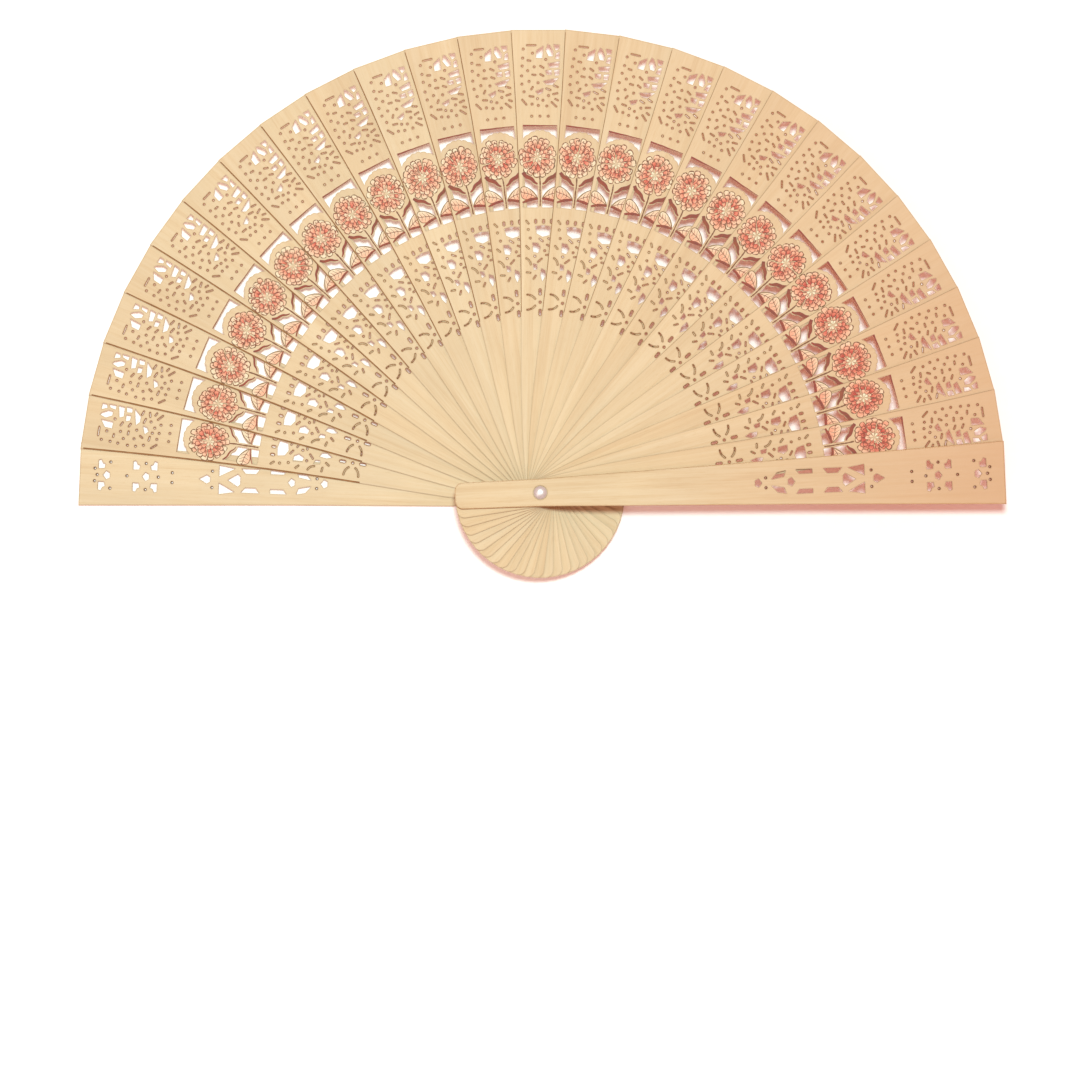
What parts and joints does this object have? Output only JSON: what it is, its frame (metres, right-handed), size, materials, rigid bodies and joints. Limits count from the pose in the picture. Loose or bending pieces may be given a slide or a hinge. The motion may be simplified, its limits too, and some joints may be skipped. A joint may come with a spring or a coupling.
{
  "type": "hand fan",
  "caption": "Folding hand fan of thin pierced wooden blades between two guards, turning on one domed rivet.",
  "frame": {"origin": "on the rivet's axis, in the outer face of the rear guard, which lies at the back of the stack", "axes": "+Z along the rivet towards the front face, +Y along the middle blade of the open fan, +X towards the front guard"},
  "size_m": [0.3386, 0.2001, 0.0234],
  "materials": {
    "guard_wood": "pale wood, sanded, no varnish",
    "blade_wood": "thin pale wood, sanded, with a printed flower on the front",
    "rivet": "polished nickel plate",
    "washer": "nickel-plated steel",
    "thread": "flat natural thread"
  },
  "bodies": {
    "rear_guard": {"rear_guard": "guard_wood", "rivet": "rivet", "rivet_washer": "washer"},
    "blade_01": {"blade_01": "blade_wood", "thread_01": "thread"},
    "blade_02": {"blade_02": "blade_wood", "thread_02": "thread"},
    "blade_03": {"blade_03": "blade_wood", "thread_03": "thread"},
    "blade_04": {"blade_04": "blade_wood", "thread_04": "thread"},
    "blade_05": {"blade_05": "blade_wood", "thread_05": "thread"},
    "blade_06": {"blade_06": "blade_wood", "thread_06": "thread"},
    "blade_07": {"blade_07": "blade_wood", "thread_07": "thread"},
    "blade_08": {"blade_08": "blade_wood", "thread_08": "thread"},
    "blade_09": {"blade_09": "blade_wood", "thread_09": "thread"},
    "blade_10": {"blade_10": "blade_wood", "thread_10": "thread"},
    "blade_11": {"blade_11": "blade_wood", "thread_11": "thread"},
    "blade_12": {"blade_12": "blade_wood", "thread_12": "thread"},
    "blade_13": {"blade_13": "blade_wood", "thread_13": "thread"},
    "blade_14": {"blade_14": "blade_wood", "thread_14": "thread"},
    "blade_15": {"blade_15": "blade_wood", "thread_15": "thread"},
    "blade_16": {"blade_16": "blade_wood", "thread_16": "thread"},
    "blade_17": {"blade_17": "blade_wood", "thread_17": "thread"},
    "blade_18": {"blade_18": "blade_wood", "thread_18": "thread"},
    "blade_19": {"blade_19": "blade_wood", "thread_19": "thread"},
    "blade_20": {"blade_20": "blade_wood", "thread_20": "thread"},
    "blade_21": {"blade_21": "blade_wood", "thread_21": "thread"},
    "blade_22": {"blade_22": "blade_wood", "thread_22": "thread"},
    "blade_23": {"blade_23": "blade_wood", "thread_23": "thread"},
    "blade_24": {"blade_24": "blade_wood", "thread_24": "thread"},
    "blade_25": {"blade_25": "blade_wood", "thread_25": "thread"},
    "front_guard": {"front_guard": "guard_wood", "thread_26": "thread"}
  },
  "joints": [
    {"name": "fan_closing", "type": "hinge", "parent": "rear_guard", "child": "front_guard", "pos_m": [0, 0, 0], "axis": [0, 0, 1], "range_deg": [0, 175.11]},
    {"name": "blade_01_turn", "type": "hinge", "parent": "rear_guard", "child": "blade_01", "pos_m": [0, 0, 0], "axis": [0, 0, 1], "range_deg": [0, 6.75]},
    {"name": "blade_02_turn", "type": "hinge", "parent": "rear_guard", "child": "blade_02", "pos_m": [0, 0, 0], "axis": [0, 0, 1], "range_deg": [0, 13.48]},
    {"name": "blade_03_turn", "type": "hinge", "parent": "rear_guard", "child": "blade_03", "pos_m": [0, 0, 0], "axis": [0, 0, 1], "range_deg": [0, 20.21]},
    {"name": "blade_04_turn", "type": "hinge", "parent": "rear_guard", "child": "blade_04", "pos_m": [0, 0, 0], "axis": [0, 0, 1], "range_deg": [0, 26.95]},
    {"name": "blade_05_turn", "type": "hinge", "parent": "rear_guard", "child": "blade_05", "pos_m": [0, 0, 0], "axis": [0, 0, 1], "range_deg": [0, 33.69]},
    {"name": "blade_06_turn", "type": "hinge", "parent": "rear_guard", "child": "blade_06", "pos_m": [0, 0, 0], "axis": [0, 0, 1], "range_deg": [0, 40.42]},
    {"name": "blade_07_turn", "type": "hinge", "parent": "rear_guard", "child": "blade_07", "pos_m": [0, 0, 0], "axis": [0, 0, 1], "range_deg": [0, 47.16]},
    {"name": "blade_08_turn", "type": "hinge", "parent": "rear_guard", "child": "blade_08", "pos_m": [0, 0, 0], "axis": [0, 0, 1], "range_deg": [0, 53.89]},
    {"name": "blade_09_turn", "type": "hinge", "parent": "rear_guard", "child": "blade_09", "pos_m": [0, 0, 0], "axis": [0, 0, 1], "range_deg": [0, 60.62]},
    {"name": "blade_10_turn", "type": "hinge", "parent": "rear_guard", "child": "blade_10", "pos_m": [0, 0, 0], "axis": [0, 0, 1], "range_deg": [0, 67.36]},
    {"name": "blade_11_turn", "type": "hinge", "parent": "rear_guard", "child": "blade_11", "pos_m": [0, 0, 0], "axis": [0, 0, 1], "range_deg": [0, 74.09]},
    {"name": "blade_12_turn", "type": "hinge", "parent": "rear_guard", "child": "blade_12", "pos_m": [0, 0, 0], "axis": [0, 0, 1], "range_deg": [0, 80.83]},
    {"name": "blade_13_turn", "type": "hinge", "parent": "rear_guard", "child": "blade_13", "pos_m": [0, 0, 0], "axis": [0, 0, 1], "range_deg": [0, 87.56]},
    {"name": "blade_14_turn", "type": "hinge", "parent": "rear_guard", "child": "blade_14", "pos_m": [0, 0, 0], "axis": [0, 0, 1], "range_deg": [0, 94.3]},
    {"name": "blade_15_turn", "type": "hinge", "parent": "rear_guard", "child": "blade_15", "pos_m": [0, 0, 0], "axis": [0, 0, 1], "range_deg": [0, 101.03]},
    {"name": "blade_16_turn", "type": "hinge", "parent": "rear_guard", "child": "blade_16", "pos_m": [0, 0, 0], "axis": [0, 0, 1], "range_deg": [0, 107.77]},
    {"name": "blade_17_turn", "type": "hinge", "parent": "rear_guard", "child": "blade_17", "pos_m": [0, 0, 0], "axis": [0, 0, 1], "range_deg": [0, 114.5]},
    {"name": "blade_18_turn", "type": "hinge", "parent": "rear_guard", "child": "blade_18", "pos_m": [0, 0, 0], "axis": [0, 0, 1], "range_deg": [0, 121.24]},
    {"name": "blade_19_turn", "type": "hinge", "parent": "rear_guard", "child": "blade_19", "pos_m": [0, 0, 0], "axis": [0, 0, 1], "range_deg": [0, 127.97]},
    {"name": "blade_20_turn", "type": "hinge", "parent": "rear_guard", "child": "blade_20", "pos_m": [0, 0, 0], "axis": [0, 0, 1], "range_deg": [0, 134.71]},
    {"name": "blade_21_turn", "type": "hinge", "parent": "rear_guard", "child": "blade_21", "pos_m": [0, 0, 0], "axis": [0, 0, 1], "range_deg": [0, 141.44]},
    {"name": "blade_22_turn", "type": "hinge", "parent": "rear_guard", "child": "blade_22", "pos_m": [0, 0, 0], "axis": [0, 0, 1], "range_deg": [0, 148.18]},
    {"name": "blade_23_turn", "type": "hinge", "parent": "rear_guard", "child": "blade_23", "pos_m": [0, 0, 0], "axis": [0, 0, 1], "range_deg": [0, 154.91]},
    {"name": "blade_24_turn", "type": "hinge", "parent": "rear_guard", "child": "blade_24", "pos_m": [0, 0, 0], "axis": [0, 0, 1], "range_deg": [0, 161.65]},
    {"name": "blade_25_turn", "type": "hinge", "parent": "rear_guard", "child": "blade_25", "pos_m": [0, 0, 0], "axis": [0, 0, 1], "range_deg": [0, 168.38]}
  ],
  "couplings": [
    {"joint": "blade_01_turn", "follows": "fan_closing", "ratio": 0.038462},
    {"joint": "blade_02_turn", "follows": "fan_closing", "ratio": 0.076923},
    {"joint": "blade_03_turn", "follows": "fan_closing", "ratio": 0.11538},
    {"joint": "blade_04_turn", "follows": "fan_closing", "ratio": 0.15385},
    {"joint": "blade_05_turn", "follows": "fan_closing", "ratio": 0.19231},
    {"joint": "blade_06_turn", "follows": "fan_closing", "ratio": 0.23077},
    {"joint": "blade_07_turn", "follows": "fan_closing", "ratio": 0.26923},
    {"joint": "blade_08_turn", "follows": "fan_closing", "ratio": 0.30769},
    {"joint": "blade_09_turn", "follows": "fan_closing", "ratio": 0.34615},
    {"joint": "blade_10_turn", "follows": "fan_closing", "ratio": 0.38462},
    {"joint": "blade_11_turn", "follows": "fan_closing", "ratio": 0.42308},
    {"joint": "blade_12_turn", "follows": "fan_closing", "ratio": 0.46154},
    {"joint": "blade_13_turn", "follows": "fan_closing", "ratio": 0.5},
    {"joint": "blade_14_turn", "follows": "fan_closing", "ratio": 0.53846},
    {"joint": "blade_15_turn", "follows": "fan_closing", "ratio": 0.57692},
    {"joint": "blade_16_turn", "follows": "fan_closing", "ratio": 0.61538},
    {"joint": "blade_17_turn", "follows": "fan_closing", "ratio": 0.65385},
    {"joint": "blade_18_turn", "follows": "fan_closing", "ratio": 0.69231},
    {"joint": "blade_19_turn", "follows": "fan_closing", "ratio": 0.73077},
    {"joint": "blade_20_turn", "follows": "fan_closing", "ratio": 0.76923},
    {"joint": "blade_21_turn", "follows": "fan_closing", "ratio": 0.80769},
    {"joint": "blade_22_turn", "follows": "fan_closing", "ratio": 0.84615},
    {"joint": "blade_23_turn", "follows": "fan_closing", "ratio": 0.88462},
    {"joint": "blade_24_turn", "follows": "fan_closing", "ratio": 0.92308},
    {"joint": "blade_25_turn", "follows": "fan_closing", "ratio": 0.96154}
  ]
}
